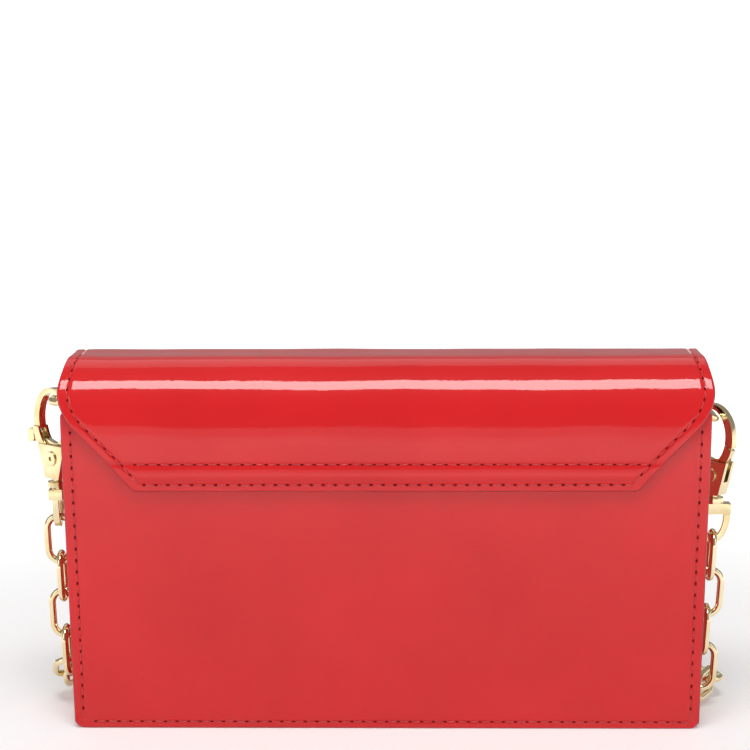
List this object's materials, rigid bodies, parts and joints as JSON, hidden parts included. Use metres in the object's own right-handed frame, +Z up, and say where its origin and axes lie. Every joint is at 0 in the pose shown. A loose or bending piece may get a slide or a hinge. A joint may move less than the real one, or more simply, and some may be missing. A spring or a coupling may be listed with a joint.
{
  "type": "clutch purse",
  "caption": "Structured flap clutch in glossy leather with slanted flap corners, a magnetic closure, side D-rings and a chain strap on swivel trigger clasps",
  "frame": {"origin": "middle of the base, on the surface the bag stands on", "axes": "+X to the right side seen from the front, +Y out of the back, +Z up; the flap closes over the front at -Y"},
  "size_m": [0.2225, 0.135, 0.114],
  "materials": {
    "patent_leather": "glossy patent",
    "lining_fabric": "fine twill",
    "stiffener_board": "pressed fibre board",
    "magnet_steel": "plated",
    "spring_steel": "bright wire",
    "gold_metal": "polished light gold plate",
    "chain_metal": "polished light gold plate"
  },
  "bodies": {
    "bag": {"back_board": "stiffener_board", "back_panel": "patent_leather", "base_board": "stiffener_board", "base_gusset": "patent_leather", "flap_tail": "patent_leather", "front_board": "stiffener_board", "front_panel": "patent_leather", "left_gusset": "patent_leather", "left_hanging_chain": "chain_metal", "left_ring_tab": "patent_leather", "left_swivel_eye": "gold_metal", "left_tab_rivet": "gold_metal", "lining": "lining_fabric", "lying_chain": "chain_metal", "panel_magnet": "magnet_steel", "right_gusset": "patent_leather", "right_hanging_chain": "chain_metal", "right_ring_tab": "patent_leather", "right_swivel_eye": "gold_metal", "right_tab_rivet": "gold_metal", "slip_pocket": "lining_fabric"},
    "flap_bend": {"flap_top": "patent_leather", "flap_top_lining": "lining_fabric"},
    "flap_panel": {"flap_front": "patent_leather", "flap_front_lining": "lining_fabric", "flap_magnet": "magnet_steel"},
    "right_ring": {"right_d_ring": "gold_metal"},
    "right_clasp": {"right_clasp_body": "gold_metal", "right_pivot_rivet": "gold_metal", "right_trigger_spring": "spring_steel"},
    "right_trigger": {"right_clasp_trigger": "gold_metal"},
    "left_ring": {"left_d_ring": "gold_metal"},
    "left_clasp": {"left_clasp_body": "gold_metal", "left_pivot_rivet": "gold_metal", "left_trigger_spring": "spring_steel"},
    "left_trigger": {"left_clasp_trigger": "gold_metal"}
  },
  "joints": [
    {"name": "rear_fold", "type": "hinge", "parent": "bag", "child": "flap_bend", "pos_m": [0, 0.023, 0.0995], "axis": [-1, 0, 0], "range_deg": [0, 125]},
    {"name": "front_fold", "type": "hinge", "parent": "flap_bend", "child": "flap_panel", "pos_m": [0, -0.0236, 0.0995], "axis": [-1, 0, 0], "range_deg": [0, 60], "stiffness_Nm_per_rad": 0.05, "springref_deg": -5.73},
    {"name": "right_ring_pivot", "type": "hinge", "parent": "bag", "child": "right_ring", "pos_m": [0.0916, 0, 0.1004], "axis": [0, 1, 0], "range_deg": [0, 12]},
    {"name": "right_swivel", "type": "hinge", "parent": "bag", "child": "right_clasp", "pos_m": [0.1032, 0, 0.0811], "axis": [0, 0, 1], "range_deg": [0, 60]},
    {"name": "right_trigger_pivot", "type": "hinge", "parent": "right_clasp", "child": "right_trigger", "pos_m": [0.1032, 0, 0.0811], "axis": [0.6428, 0.766, 0], "range_deg": [0, 22], "stiffness_Nm_per_rad": 0.001, "springref_deg": -17.19},
    {"name": "left_ring_pivot", "type": "hinge", "parent": "bag", "child": "left_ring", "pos_m": [-0.0916, 0, 0.1004], "axis": [0, -1, 0], "range_deg": [0, 3]},
    {"name": "left_swivel", "type": "hinge", "parent": "bag", "child": "left_clasp", "pos_m": [-0.1023, 0, 0.0759], "axis": [0, 0, 1], "range_deg": [-4, 0]},
    {"name": "left_trigger_pivot", "type": "hinge", "parent": "left_clasp", "child": "left_trigger", "pos_m": [-0.1023, 0, 0.0759], "axis": [0.6691, 0.7431, 0], "range_deg": [0, 22], "stiffness_Nm_per_rad": 0.001, "springref_deg": -17.19}
  ]
}
